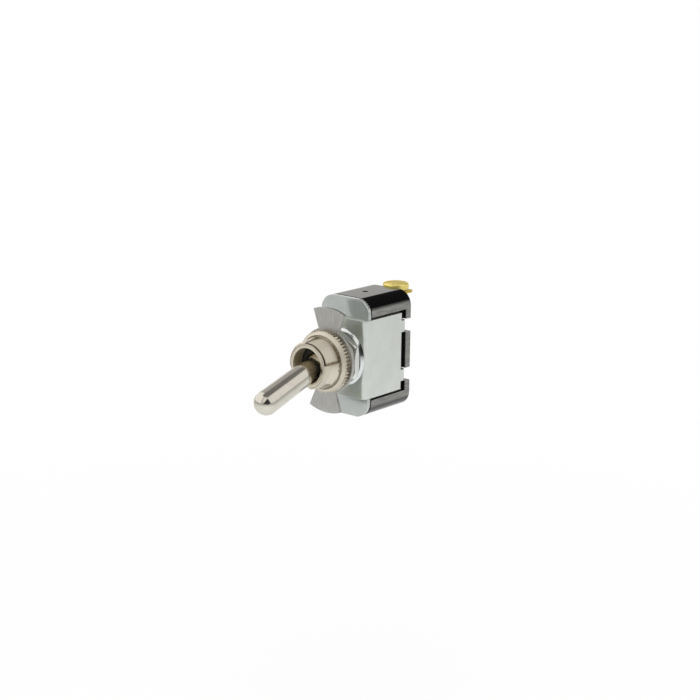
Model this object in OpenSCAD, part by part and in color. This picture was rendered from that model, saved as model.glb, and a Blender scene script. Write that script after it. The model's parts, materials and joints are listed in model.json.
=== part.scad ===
// Heavy panel toggle switch: bat lever, threaded stem, folded bracket,
// moulded base, rocking contact arm and two screw terminals.
//
// Frame of the model: the stem's axis is the Y axis, the lever points to -Y,
// +Z is up and +X is to the right. The origin lies on the stem's axis in the
// front face of the back nut, which is where the rear of the panel rests.
//
// Inside the modules the pieces are drawn lying on their backs, with z as the
// height in front of that seat, x to the right and y up. stand() turns them.

/* [Panel] */
// Free room for the panel between the back nut and the indicator plate
panel_gap = 2.4; // [2.05:0.05:6]

/* [Threaded stem] */
// Diameter over the thread
stem_d = 11.9; // [11.8:0.05:12.6]
// How far the stem stands out of the face nut
stem_proud = 0.1; // [0.1:0.1:2]
// Diameter of the wide mouth that the lever swings in
mouth_d = 10.4; // [10:0.1:10.7]
// Bevel on the stem's front rim
rim_bevel = 0.25; // [0.1:0.05:0.35]
// How far the stem's swaged tail grips past its side
swage_lip = 0.6; // [0.4:0.1:0.8]
// Depth of the swaged tail in the cover plate
swage_t = 0.4; // [0.3:0.05:0.5]
// Height of the ball's seat on each side of the cross pin
pin_ledge = 0.25; // [0.15:0.05:0.4]

/* [Back nut and lock washer] */
// Size of the back nut across its flats
back_nut_af = 14.3; // [14:0.1:16]
// Thickness of the back nut
back_nut_t = 2.1; // [1.5:0.1:4]
// How far the back nut's chamfers start inside its flats
nut_chamfer = 0.2; // [0.1:0.05:0.4]
// Angle of the back nut's chamfers
nut_chamfer_angle = 30; // [20:1:35]
// Share of the room between the stem and the bracket's side that the lock washer fills
washer_share = 0.9; // [0.8:0.01:0.95]
// Share of that room that the washer's teeth fill
tooth_share = 0.25; // [0.2:0.01:0.3]
// Thickness of the lock washer over its twisted teeth
washer_t = 0.8; // [0.75:0.05:1.2]
// Thickness of the lock washer's ring
washer_ring_t = 0.6; // [0.5:0.05:0.65]
// Width of the bevel round the lock washer
washer_bevel = 0.5; // [0.1:0.05:0.55]
// Number of teeth inside the lock washer
washer_teeth = 12; // [8:1:16]
// Width of each washer tooth
tooth_w = 1.1; // [0.8:0.1:1.2]
// Thickness of each washer tooth
tooth_t = 0.45; // [0.35:0.05:0.45]
// Twist of each washer tooth
tooth_twist = 12; // [6:1:14]

/* [Indicator plate] */
// Radius of the indicator plate's wings
wing_r = 14.6; // [12:0.1:18]
// Half of the angle that each wing covers
wing_half_angle = 22.2; // [15:0.1:30]
// Diameter of the round middle of the indicator plate
indicator_disc_d = 18.1; // [17:0.1:20]
// Thickness of the indicator plate
indicator_t = 0.9; // [0.5:0.1:1.5]
// How far the indicator plate has turned on the stem
indicator_turn = -2.7; // [-5:0.5:5]

/* [Face nut] */
// Diameter over the knurled flange
knurl_d = 17.2; // [16.6:0.1:18]
// Number of knurls round the flange
knurl_count = 54; // [36:1:72]
// Depth of each knurl
knurl_depth = 0.35; // [0.2:0.05:0.5]
// Thickness of the flange
flange_t = 2.5; // [2.2:0.1:3.4]
// Height of the bevel in front of the knurls
flange_bevel = 0.8; // [0.4:0.1:1.2]
// Height of the tapered collar in front of the flange
collar_h = 5.5; // [4.5:0.1:8]
// Diameter of the collar where it meets the flange
collar_root_d = 14.2; // [13.8:0.1:15]
// Diameter of the collar at its front
collar_front_d = 12.9; // [12.8:0.1:13.4]
// Bevel round the collar's front
collar_bevel = 0.35; // [0.1:0.05:0.35]
// Angle that each wrench recess covers
recess_angle = 88; // [60:1:100]
// Angle from the right-hand side to the start of the first recess
recess_start = 9; // [0:1:45]
// Wall that the wrench recesses leave over the thread
recess_wall = 0.25; // [0.15:0.05:0.4]
// Length at the front where a wrench recess bares the thread
recess_open = 0.8; // [0.4:0.1:1.5]
// Width and depth of the groove round the foot of the collar
cove = 0.35; // [0.2:0.05:0.5]

/* [Lever] */
// Diameter of the pivot ball
ball_d = 6.4; // [6:0.1:6.6]
// Depth of the ball's centre below the front of the stem
pivot_below_front = 5.1; // [4.8:0.1:5.6]
// Diameter of the neck between ball and bat
neck_d = 5; // [4.4:0.1:5]
// Length of the straight neck, from the ball's centre
neck_l = 2.4; // [2.4:0.1:4]
// Length of the taper from the neck to the bat
taper_l = 4.7; // [2:0.1:6]
// Diameter of the bat at its shoulder
bat_root_d = 6.2; // [5.5:0.1:6.4]
// Diameter of the bat at its round tip
bat_tip_d = 6.6; // [6:0.1:8]
// Length from the pivot to the end of the tip
bat_reach = 25.25; // [18:0.25:40]
// Angle from the middle to each end of the lever's throw
half_throw = 18; // [14:1:18]
// Length of the thin arm behind the stem
arm_past_stem = 2.1; // [2:0.1:2.6]
// Diameter of the thin arm behind the ball
arm_d = 2.4; // [2:0.1:2.4]
// Outer diameter of the spring cup at the end of the arm
cup_d = 4.4; // [4:0.1:5]
// Length of the spring cup
cup_l = 5; // [4.5:0.1:6]
// Depth of the bore in the spring cup
cup_depth = 4.4; // [4:0.1:4.4]
// Diameter of the cross pin that the ball turns on
pin_d = 1.5; // [1.2:0.1:1.6]
// How far each end of the cross pin stays below the thread
pin_inset = 0.65; // [0.5:0.05:0.8]
// Thickness of the dust seal round the ball
seal_t = 0.5; // [0.4:0.1:0.8]

/* [Plunger and spring] */
// Diameter of the plunger
plunger_d = 3; // [2.6:0.1:3]
// Length of the plunger inside the cup
plunger_grip = 2; // [1.5:0.1:2.5]
// Length of the plunger's straight part outside the cup
plunger_nose = 1.2; // [1:0.1:2]
// Diameter of the spring's wire
spring_wire_d = 0.34; // [0.25:0.01:0.4]
// Number of turns of the spring
spring_turns = 5; // [3:1:5]

/* [Contact arm] */
// Width of the contact arm
rocker_w = 4.6; // [4:0.1:5]
// Thickness of the contact arm
rocker_t = 0.8; // [0.6:0.05:1]
// How far the contact arm's middle stands in front of its pivot
rocker_lift = 0.48; // [0.4:0.02:0.5]
// Slope of the contact arm's two wings
rocker_slope = 24; // [22:1:26]
// How much the arm turns for each degree of the lever
rocker_ratio = 0.5; // [0.4:0.05:0.5]
// Height of the bend between wing and contact pad
rocker_bend = 7.6; // [7.2:0.1:8]
// Length of each contact pad
pad_l = 3.4; // [3.2:0.1:3.6]
// Diameter of the arm's pivot
trunnion_d = 1; // [0.9:0.05:1.2]
// Diameter of the contacts
contact_d = 3.2; // [2.6:0.1:3.2]
// Height of each contact
contact_h = 0.9; // [0.6:0.1:1.2]
// Height of the dome on the moving contact
contact_dome = 0.25; // [0.1:0.05:0.4]

/* [Bracket and cover plate] */
// Thickness of the bracket's sheet
bracket_t = 1.2; // [0.8:0.05:1.25]
// Height of the bracket
bracket_h = 21.8; // [21:0.1:23]
// Outer radius of the bracket's two long bends
bracket_bend_r = 1.3; // [1.3:0.1:2]
// Distance from the base's shelf to the rear edge of the bracket's legs
leg_short_of_shelf = 1.2; // [0.5:0.1:1.5]
// Width of each clinched tab
tab_w = 3.3; // [2.8:0.1:3.4]
// Distance between the two tabs on one leg
tab_spacing = 14; // [13:0.1:14.5]
// Length of the folded end of a tab
tab_reach = 2.65; // [2:0.05:2.8]
// Inner radius of each tab's fold
fold_inner_r = 0.3; // [0.2:0.05:0.4]
// Thickness of the cover plate
cover_t = 1.1; // [0.8:0.1:1.5]
// Thickness of the insulating liner
liner_t = 0.5; // [0.3:0.05:0.8]
// How far the insulating liner stays inside the base's edge
liner_inset = 0.4; // [0.1:0.1:0.6]

/* [Base] */
// Height of the base
base_h = 32.9; // [32.5:0.1:36]
// Width of the base
base_w = 16.7; // [16.5:0.1:18]
// Depth of the body from the cover plate's face to its back
body_depth = 18.5; // [18:0.1:19.5]
// Radius of the base's four long corners
corner_r = 4.2; // [3:0.1:5]
// Thickness of the side walls behind the legs
side_wall = 1.5; // [1.2:0.1:1.7]
// Thickness of the top and bottom walls
end_wall = 1.2; // [1:0.1:1.3]
// Depth of the shelf that the tabs fold over, below the back
shelf_drop = 2.8; // [2.6:0.1:3]
// Depth of the recess for each leg, short of the back
rim_l = 2; // [1.6:0.1:2.2]
// Room above and below each leg in its recess
leg_room = 0.7; // [0.4:0.1:1]
// Room beside each tab in its notch
tab_room = 0.2; // [0.1:0.05:0.3]
// Depth of the cavity's floor below the shelf
floor_below_shelf = 0.3; // [0.2:0.1:0.5]
// Diameter of the gate mark on top
gate_d = 1.6; // [1:0.1:2]
// Depth of the gate mark
gate_depth = 0.3; // [0.1:0.1:0.5]
// Distance of the gate mark from the middle
gate_offset = -0.5; // [-2:0.5:2]

/* [Terminals] */
// Width of the terminal strips
strip_w = 6.6; // [6:0.1:7]
// Thickness of the terminal strips
strip_t = 0.8; // [0.7:0.05:1]
// Distance from the top of the base to the top of the upper terminal
upper_drop = 1.4; // [1.4:0.1:2.4]
// How far the upper terminal stands out behind the base
upper_reach = 7.1; // [6.9:0.1:9]
// Distance from the back of the base to both screws
screw_back = 3.7; // [3.7:0.1:4.2]
// Height of the screw's head above its terminal
screw_lift = 0.45; // [0.2:0.05:1.5]
// Diameter of the terminal screws
screw_d = 3.5; // [3:0.1:4]
// Diameter of the screw heads
head_d = 7.3; // [6:0.1:7.4]
// Height of the screw heads at the edge
head_h = 1.4; // [1.2:0.1:2.2]
// Extra height of the screw heads in the middle
head_dome = 0.65; // [0.3:0.05:0.8]
// Length of the terminal screws below the head
screw_l = 6.4; // [5:0.1:7]
// Width of the slot in the screw heads
slot_w = 0.9; // [0.6:0.1:1.2]
// Depth of the slot in the screw heads
slot_depth = 1.1; // [0.6:0.1:1.2]
// Angle at which each screw's slot came to rest
slot_turn = 40; // [0:5:90]
// Thickness of the pivot ears on the centre terminal
ear_t = 0.8; // [0.6:0.1:0.9]
// Room between the contact arm and each pivot ear
ear_room = 0.3; // [0.2:0.05:0.4]
// Metal of the ears round the arm's pivot
ear_rim = 1; // [0.7:0.1:1.2]

/* [Fits] */
// Running clearance of shafts in holes, on the radius
run_clear = 0.05; // [0.03:0.01:0.08]
// Clearance of pieces that are pressed or clamped together
seat_clear = 0.02; // [0.01:0.01:0.04]
// Clearance round the pivot ball, on the radius
ball_clear = 0.1; // [0.08:0.01:0.15]
// Clearance of the plunger in its cup, on the radius
plunger_clear = 0.1; // [0.08:0.01:0.12]
// Clearance of the indicator plate on the thread, on the radius
plate_clear = 0.15; // [0.1:0.05:0.3]
// Room between the dust seal and the ball
seal_clear = 0.2; // [0.15:0.05:0.3]
// Room round the lever's arm in the insulating liner
liner_clear = 0.3; // [0.2:0.05:0.4]
// Clearance of strips and legs in their slots
slot_clear = 0.05; // [0.03:0.01:0.1]
// Least gap between the plunger's nose and the contact arm
nose_clear = 0.1; // [0.08:0.01:0.2]
// Gap between the two closed contacts
contact_gap = 0.06; // [0.05:0.01:0.1]
// Gap between the lever's arm and the stem at each end of the throw
stop_clear = 0.1; // [0.08:0.01:0.2]

/* [Hidden] */

// Faces of a full circle, of a small one and of the spring's wire
$fn = 96;
small_fn = 32;
wire_fn = 6;
rings_per_turn = 14;

// A hair and a good step past a face, and how far joined shapes bite together
eps = 0.01;
past = 1;
bite = 0.2;

// Positions of the lever that the contact arm's place is worked out for
throw_steps = 36;

// Heights of the clamped stack, counted forward from the panel seat
nut_back = -back_nut_t;
web_front = nut_back - washer_t;
cover_front = web_front - bracket_t;
cover_back = cover_front - cover_t;
base_front = cover_back - liner_t;
base_back = cover_front - body_depth;
indicator_front = panel_gap + indicator_t;
collar_foot = indicator_front + flange_t;
collar_top = collar_foot + collar_h;
stem_front = collar_top + stem_proud;
stem_back = cover_back;

// Lever
stem_r = stem_d / 2;
ball_r = ball_d / 2;
arm_r = arm_d / 2;
pivot_z = stem_front - pivot_below_front;
arm_end = pivot_z - stem_back + arm_past_stem;
cup_end = arm_end + cup_l;
cup_bore_d = plunger_d + 2 * plunger_clear;
cup_bottom = cup_end - cup_depth;
shoulder = neck_l + taper_l;

// Bore of the stem: the seat of the ball, then a cone that gives the arm its throw
throat_r = ball_r + ball_clear;
mouth_floor = pivot_z + pin_d / 2 + pin_ledge;
throat_back = pivot_z - pin_d / 2 - pin_ledge;
bore_back_r = stop_clear + arm_r * cos(half_throw)
    + (pivot_z - stem_back + arm_r * sin(half_throw)) * tan(half_throw);
pin_half_l = stem_r - pin_inset;

// Plunger
plunger_r = plunger_d / 2;
nose_centre = cup_end + plunger_nose;
plunger_back = cup_end - plunger_grip;

// Contact arm: its pivot lies just far enough back for the nose to clear both
// wings, whatever the lever's angle
function nose_y(t) = nose_centre * sin(t);
function nose_z(t) = nose_centre * cos(t);
function pivot_for(t, side) =
    let (
        turn = rocker_ratio * t,
        across = nose_z(t) * cos(turn) - nose_y(t) * sin(turn),
        along = nose_z(t) * sin(turn) + nose_y(t) * cos(turn)
    )
    (nose_clear + plunger_r + (across + rocker_lift) * cos(rocker_slope)
        + side * along * sin(rocker_slope)) / cos(turn - side * rocker_slope);
rocker_behind_lever = max([
    for (i = [0:throw_steps], side = [-1, 1])
        pivot_for(half_throw * (2 * i / throw_steps - 1), side)
]);
rocker_z = pivot_z - rocker_behind_lever;
rocker_turn = rocker_ratio * half_throw;

// Contact pads: each stands upright when its own side is closed
wing_rise = rocker_bend * tan(rocker_slope);
pad_rise = pad_l * tan(rocker_turn);
pad_back_closed = rocker_z + (rocker_lift - rocker_t / cos(rocker_turn) + wing_rise)
    * cos(rocker_turn) - rocker_bend * sin(rocker_turn);
pad_mid = rocker_bend + pad_l / 2;
contact_y = pad_mid * cos(rocker_turn)
    + (rocker_lift + wing_rise + pad_rise / 2) * sin(rocker_turn);
rivet_r = contact_d / 4;
fixed_face = pad_back_closed - contact_h - contact_gap;
blade_front = fixed_face - contact_h;
blade_back = blade_front - strip_t;

// Base
base_half_w = base_w / 2;
leg_inner = base_half_w - bracket_t;
leg_floor = leg_inner - slot_clear;
cavity_half_w = leg_floor - side_wall;
cavity_half_h = base_h / 2 - end_wall;
shelf_z = base_back + shelf_drop;
cavity_floor = shelf_z + floor_below_shelf;
recess_half_h = bracket_h / 2 + leg_room;
notch_half_w = tab_w / 2 + tab_room;
notch_floor = base_half_w - tab_reach - 2 * tab_room;
leg_back = shelf_z + leg_short_of_shelf;
upper_y = base_h / 2 - upper_drop - strip_t;
ledge_w = 2 * cavity_half_w;
stop_front = pad_back_closed - contact_gap;

// Terminals
screw_z = base_back - screw_back;
upper_tab_end = base_back - upper_reach;
ear_half_gap = rocker_w / 2 + ear_room;
ear_outer = ear_half_gap + ear_t;
ear_half_h = trunnion_d / 2 + run_clear + ear_rim;
yoke_front = cavity_floor + strip_t;

// Stands a piece up: its height axis becomes -Y and its y axis becomes +Z
module stand() {
    rotate([90, 0, 0]) children();
}

// Tilts what belongs to the lever about its pivot, tip down by the half throw
module at_lever() {
    translate([0, 0, pivot_z]) rotate([half_throw, 0, 0]) children();
}

// Turns what belongs to the contact arm about its pivot, upper side closed
module at_rocker() {
    translate([0, 0, rocker_z]) rotate([-rocker_turn, 0, 0]) children();
}

// A solid between two heights
module slab(low, high) {
    translate([0, 0, low]) linear_extrude(high - low) children();
}

// A round bar or a cone between two heights
module bar(r, low, high, top_r = -1) {
    translate([0, 0, low]) cylinder(h = high - low, r1 = r, r2 = top_r < 0 ? r : top_r);
}

module rounded_outline(w, h, r) {
    square([w - 2 * r, h], center = true);
    square([w, h - 2 * r], center = true);
    for (sx = [-1, 1], sy = [-1, 1])
        translate([sx * (w / 2 - r), sy * (h / 2 - r)]) circle(r);
}

// A wedge that opens from the centre, between two angles less than 180 apart
module wedge(from, to, r) {
    mid = (from + to) / 2;
    far = r / cos((to - from) / 4);
    polygon([
        [0, 0], [far * cos(from), far * sin(from)],
        [far * cos(mid), far * sin(mid)], [far * cos(to), far * sin(to)]
    ]);
}

// Moulded base: leg recesses, tab notches, cavity and terminal slots
module base() {
    color([0.05, 0.05, 0.055]) stand() {
        difference() {
            slab(base_back, base_front) rounded_outline(base_w, base_h, corner_r);
            leg_recesses();
            tab_notches();
            slab(cavity_floor, base_front + past)
                square([2 * cavity_half_w, 2 * cavity_half_h], center = true);
            slab(base_back - past, cavity_floor + past) terminal_slots();
            gate_mark();
        }
        ledges();
    }
}

module leg_recesses() {
    for (side = [-1, 1])
        slab(base_back + rim_l, base_front + past)
            translate([side * (leg_floor + past + base_half_w) / 2, 0])
                square([base_half_w + past - leg_floor, 2 * recess_half_h], center = true);
}

module tab_notches() {
    for (sx = [-1, 1], sy = [-1, 1])
        slab(base_back - past, shelf_z)
            translate([sx * (notch_floor + past + base_half_w) / 2, sy * tab_spacing / 2])
                square([base_half_w + past - notch_floor, 2 * notch_half_w], center = true);
}

module terminal_slots() {
    translate([0, upper_y + strip_t / 2])
        square([strip_w, strip_t] + 2 * slot_clear * [1, 1], center = true);
    square([strip_w, strip_t] + 2 * slot_clear * [1, 1], center = true);
}

module gate_mark() {
    translate([gate_offset, base_h / 2 - gate_depth, cover_front - body_depth / 2])
        rotate([-90, 0, 0]) cylinder(h = gate_depth + past, d = gate_d);
}

// The ledge behind the upper terminal and the stop for the open side of the arm
module ledges() {
    slab(cavity_floor, blade_back)
        translate([0, (upper_y + contact_y - contact_d / 2) / 2])
            square([ledge_w, upper_y - contact_y + contact_d / 2], center = true);
    slab(cavity_floor, stop_front)
        translate([0, -contact_y]) square([ledge_w, contact_d], center = true);
}

// Fibre sheet between the metal cover and the base, with a hole for the lever
module insulating_liner() {
    color([0.32, 0.3, 0.27]) stand() slab(base_front, cover_back) difference() {
        rounded_outline(base_w - 2 * liner_inset, base_h - 2 * liner_inset,
            corner_r - liner_inset);
        for (side = [-1, 1])
            translate([side * base_half_w, 0])
                square([2 * (base_half_w - leg_floor + slot_clear), 2 * recess_half_h],
                    center = true);
        circle(bore_back_r + liner_clear);
    }
}

// Flat cover plate, waisted for the bracket's legs and countersunk for the stem's tail
module cover_plate() {
    color([0.78, 0.79, 0.78]) stand() difference() {
        slab(cover_back, cover_front) difference() {
            rounded_outline(base_w, base_h, corner_r);
            for (side = [-1, 1])
                translate([side * base_half_w, 0])
                    square([2 * bracket_bend_r, bracket_h] + 2 * slot_clear * [1, 1],
                        center = true);
            circle(stem_r + seat_clear);
        }
        swage(2 * seat_clear, -eps);
    }
}

// Cone of the stem's swaged tail; it ends inside the stem
module swage(clear, shift) {
    translate([0, 0, shift])
        bar(stem_r + swage_lip + clear, cover_back, cover_back + 2 * swage_t,
            stem_r - swage_lip + clear);
}

// Folded bracket: a web over the cover plate, two legs and four clinched tabs
module bracket() {
    color([0.8, 0.82, 0.81]) stand() difference() {
        union() {
            rotate([90, 0, 0])
                translate([0, 0, -bracket_h / 2]) linear_extrude(bracket_h) fold_outline();
            for (y = [-tab_spacing / 2, tab_spacing / 2]) {
                clinched_tab(y);
                mirror([1, 0, 0]) clinched_tab(y);
            }
        }
        bar(stem_r + seat_clear, cover_front - past, web_front + past);
    }
}

module clinched_tab(y) {
    translate([0, y + tab_w / 2, 0]) rotate([90, 0, 0]) linear_extrude(tab_w) tab_outline();
}

// Section through the web and both legs, x across and y forward
module fold_outline() {
    difference() {
        fold_side(base_half_w, bracket_bend_r, web_front, leg_back);
        fold_side(leg_inner, bracket_bend_r - bracket_t, cover_front, leg_back - past);
    }
}

module fold_side(half_w, r, front, back) {
    translate([-half_w, back]) square([2 * half_w, front - r - back]);
    translate([-half_w + r, back]) square([2 * (half_w - r), front - back]);
    for (side = [-1, 1])
        translate([side * (half_w - r), front - r]) circle(r);
}

// Section through one clinched tab: straight out of the leg, then folded in
module tab_outline() {
    fold_r = bracket_t + fold_inner_r;
    tab_back = shelf_z - bracket_t;
    difference() {
        union() {
            translate([leg_inner, tab_back + fold_r])
                square([bracket_t, leg_back + past - tab_back - fold_r]);
            translate([base_half_w - tab_reach, tab_back])
                square([tab_reach - fold_r, bracket_t]);
            translate([base_half_w - fold_r, tab_back + fold_r]) circle(fold_r);
        }
        translate([base_half_w - 2 * fold_r, shelf_z]) square([2 * fold_r - bracket_t, 2 * fold_r]);
    }
}

// Turned stem with mouth, ball seat, swing cone, pin hole and swaged tail
module stem() {
    color([0.74, 0.71, 0.65]) stand() difference() {
        union() {
            bar(stem_r, stem_back, stem_front - rim_bevel);
            bar(stem_r, stem_front - rim_bevel, stem_front, stem_r - rim_bevel);
            swage(0, 0);
        }
        bar(mouth_d / 2, mouth_floor, stem_front + past);
        bar(throat_r, throat_back, mouth_floor + eps);
        bar(bore_back_r, stem_back, throat_back + eps, throat_r);
        bar(bore_back_r, stem_back - past, stem_back + eps);
        translate([0, 0, pivot_z]) rotate([0, 90, 0])
            cylinder(h = stem_d + past, r = pin_d / 2 + seat_clear, center = true);
    }
}

// Lock washer: a bevelled ring with twisted teeth on its inner edge
module lock_washer() {
    room = base_half_w - stem_r;
    washer_r = stem_r + washer_share * room;
    tooth_l = tooth_share * room;
    ring_r = stem_r + run_clear + tooth_l;
    color([0.72, 0.7, 0.64]) stand() translate([0, 0, nut_back - washer_t / 2]) {
        difference() {
            bar(washer_r, -washer_ring_t / 2, washer_ring_t / 2, washer_r - washer_bevel);
            bar(ring_r, -washer_t, washer_t);
        }
        for (i = [0:washer_teeth - 1])
            rotate(i * 360 / washer_teeth)
                translate([ring_r + (bite - tooth_l) / 2, 0, 0]) rotate([tooth_twist, 0, 0])
                    cube([tooth_l + bite, tooth_w, tooth_t], center = true);
    }
}

// Hexagon nut behind the panel, bevelled on both faces
module back_nut() {
    corner = back_nut_af / sqrt(3);
    face_r = back_nut_af / 2 - nut_chamfer;
    wide_r = face_r + back_nut_t / tan(nut_chamfer_angle);
    color([0.8, 0.82, 0.81]) stand() difference() {
        intersection() {
            slab(nut_back, 0) rotate(30) circle(corner, $fn = 6);
            bar(face_r, nut_back, 0, wide_r);
            bar(wide_r, nut_back, 0, face_r);
        }
        bar(stem_r + run_clear, nut_back - past, past);
    }
}

// Indicator plate: a round middle with two wings, left bare
module indicator_plate() {
    color([0.66, 0.66, 0.65]) stand() rotate(indicator_turn)
        slab(panel_gap, indicator_front) difference() {
            union() {
                circle(d = indicator_disc_d);
                intersection() {
                    circle(wing_r);
                    for (up = [90, 270])
                        wedge(up - wing_half_angle, up + wing_half_angle, wing_r + past);
                }
            }
            circle(stem_r + plate_clear);
        }
}

// Face nut: knurled flange, coved foot and tapered collar with wrench recesses
module face_nut() {
    bevel_start = collar_foot - flange_bevel;
    bevel_r = knurl_d / 2 - knurl_depth - slot_clear;
    recess_floor = collar_foot + cove / 2;
    recess_r = stem_r + recess_wall;
    color([0.76, 0.73, 0.66]) stand() difference() {
        union() {
            slab(indicator_front, bevel_start) knurl_outline();
            bar(bevel_r, bevel_start, collar_foot, collar_root_d / 2 + cove + slot_clear);
            bar(collar_root_d / 2, collar_foot, collar_top - collar_bevel, collar_front_d / 2);
            bar(collar_front_d / 2, collar_top - collar_bevel, collar_top,
                collar_front_d / 2 - collar_bevel);
        }
        bar(stem_r + run_clear, indicator_front - past, collar_top + past);
        cove_ring();
        for (turn = [0, 180]) rotate(turn) {
            slab(recess_floor, collar_top - recess_open) difference() {
                recess_wedge();
                circle(recess_r);
            }
            slab(collar_top - recess_open, collar_top + past) recess_wedge();
        }
    }
}

module recess_wedge() {
    wedge(recess_start, recess_start + recess_angle, collar_root_d);
}

// Outline with one sharp ridge for each knurl
module knurl_outline() {
    step = 360 / knurl_count;
    polygon([
        for (i = [0:knurl_count - 1], half = [0, 1])
            let (r = knurl_d / 2 - half * knurl_depth, a = (i + half / 2) * step)
            [r * cos(a), r * sin(a)]
    ]);
}

module cove_ring() {
    rotate_extrude() translate([collar_root_d / 2, collar_foot]) circle(cove, $fn = small_fn);
}

// Lever: bat, neck, ball, arm and spring cup turned in one piece
module lever() {
    tip_r = bat_tip_d / 2;
    root_r = bat_root_d / 2;
    color([0.78, 0.77, 0.73]) stand() at_lever() difference() {
        union() {
            sphere(ball_r);
            bar(neck_d / 2, 0, neck_l);
            bar(neck_d / 2, neck_l, shoulder, root_r);
            bar(root_r, shoulder, bat_reach - tip_r, tip_r);
            translate([0, 0, bat_reach - tip_r]) sphere(tip_r);
            bar(arm_r, -arm_end - eps, 0);
            bar(cup_d / 2, -cup_end, -arm_end);
        }
        bar(cup_bore_d / 2, -cup_end - past, -cup_bottom);
        rotate([0, 90, 0])
            cylinder(h = ball_d + past, r = pin_d / 2 + run_clear, center = true);
    }
}

// Pin across the stem that the ball turns on
module pivot_pin() {
    color([0.6, 0.6, 0.6]) stand() translate([0, 0, pivot_z]) rotate([0, 90, 0])
        cylinder(h = 2 * pin_half_l, d = pin_d, center = true);
}

// Rubber washer in the floor of the mouth, round the ball
module dust_seal() {
    hole_r = sqrt(pow(ball_r, 2) - pow(mouth_floor - pivot_z, 2)) + seal_clear;
    color([0.03, 0.03, 0.03]) stand() slab(mouth_floor, mouth_floor + seal_t) difference() {
        circle(mouth_d / 2 - seat_clear);
        circle(hole_r);
    }
}

// Insulating plunger that slides in the cup and presses on the contact arm
module plunger() {
    color([0.85, 0.83, 0.76]) stand() at_lever() {
        bar(plunger_r, -nose_centre, -plunger_back);
        translate([0, 0, -nose_centre]) sphere(plunger_r);
    }
}

// Coil spring between the bottom of the cup and the plunger
module plunger_spring() {
    rings = spring_turns * rings_per_turn;
    coil_r = plunger_r - spring_wire_d / 2 - run_clear;
    wire_r = spring_wire_d / 2;
    length = plunger_back - cup_bottom - spring_wire_d - 2 * seat_clear;
    lead = atan(length / spring_turns / (2 * PI * coil_r));
    points = [
        for (i = [0:rings], k = [0:wire_fn - 1])
            let (
                a = 360 * spring_turns * i / rings,
                b = 360 * k / wire_fn,
                r = coil_r + wire_r * cos(b),
                up = wire_r * sin(b)
            )
            [
                r * cos(a) + up * sin(lead) * sin(a),
                r * sin(a) - up * sin(lead) * cos(a),
                length * i / rings + up * cos(lead)
            ]
    ];
    faces = [
        [for (k = [0:wire_fn - 1]) k],
        [for (k = [wire_fn - 1:-1:0]) rings * wire_fn + k],
        for (i = [0:rings - 1], k = [0:wire_fn - 1])
            let (n = (k + 1) % wire_fn)
            [i * wire_fn + n, i * wire_fn + k, (i + 1) * wire_fn + k, (i + 1) * wire_fn + n]
    ];
    color([0.7, 0.7, 0.72]) stand() at_lever()
        translate([0, 0, -plunger_back + wire_r + seat_clear])
            polyhedron(points, faces, convexity = 10);
}

// Springy contact arm: a shallow V with two pads, rocking on its pivot
module contact_arm() {
    color([0.75, 0.52, 0.32]) stand() at_rocker() difference() {
        union() {
            rotate([90, 0, 90]) translate([0, 0, -rocker_w / 2]) linear_extrude(rocker_w)
                arm_outline();
            rotate([0, 90, 0])
                cylinder(h = 2 * ear_outer, d = trunnion_d, center = true);
        }
        translate([0, pad_mid, rocker_lift + wing_rise + pad_rise / 2])
            rotate([rocker_turn, 0, 0])
                cylinder(h = 2 * (rocker_t + past), r = rivet_r + seat_clear, center = true);
    }
}

// Side view of the contact arm, x up along the arm and y forward
module arm_outline() {
    front = [[rocker_bend, wing_rise], [rocker_bend + pad_l, wing_rise + pad_rise]];
    back = rocker_t / cos(rocker_turn);
    polygon([
        [0, rocker_lift], front[0] + [0, rocker_lift], front[1] + [0, rocker_lift],
        front[1] + [0, rocker_lift - back], front[0] + [0, rocker_lift - back],
        [0, rocker_lift - back],
        [-front[0].x, front[0].y + rocker_lift - back],
        [-front[1].x, front[1].y + rocker_lift - back],
        [-front[1].x, front[1].y + rocker_lift], [-front[0].x, front[0].y + rocker_lift]
    ]);
}

// Domed contact riveted to the upper pad of the arm
module moving_contact() {
    dome_r = (pow(contact_d / 2, 2) + pow(contact_dome, 2)) / (2 * contact_dome);
    back = rocker_t;
    color([0.86, 0.86, 0.85]) stand() at_rocker()
        translate([0, pad_mid, rocker_lift + wing_rise + pad_rise / 2])
            rotate([rocker_turn, 0, 0]) {
                intersection() {
                    bar(contact_d / 2, -back - contact_h, -back - seat_clear);
                    translate([0, 0, -back - contact_h + dome_r]) sphere(dome_r);
                }
                bar(rivet_r, -back - seat_clear - eps, -eps);
            }
}

// Flat contact riveted to the upper terminal
module fixed_contact() {
    color([0.86, 0.86, 0.85]) stand() translate([0, contact_y, 0]) {
        bar(contact_d / 2, blade_front + seat_clear, fixed_face);
        bar(rivet_r, blade_back + seat_clear, blade_front + seat_clear + eps);
    }
}

// Upper terminal: a blade inside the base and a tab that runs out behind it
module upper_terminal() {
    blade_low = contact_y - contact_d / 2;
    color([0.83, 0.7, 0.3]) stand() difference() {
        union() {
            slab(blade_back, blade_front)
                translate([0, (blade_low + upper_y + strip_t) / 2])
                    square([strip_w, upper_y + strip_t - blade_low], center = true);
            translate([-strip_w / 2, upper_y, upper_tab_end])
                cube([strip_w, strip_t, blade_front - upper_tab_end]);
        }
        translate([0, contact_y, 0])
            bar(rivet_r + seat_clear, blade_back - past, blade_front + past);
        screw_hole(upper_y);
    }
}

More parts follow.
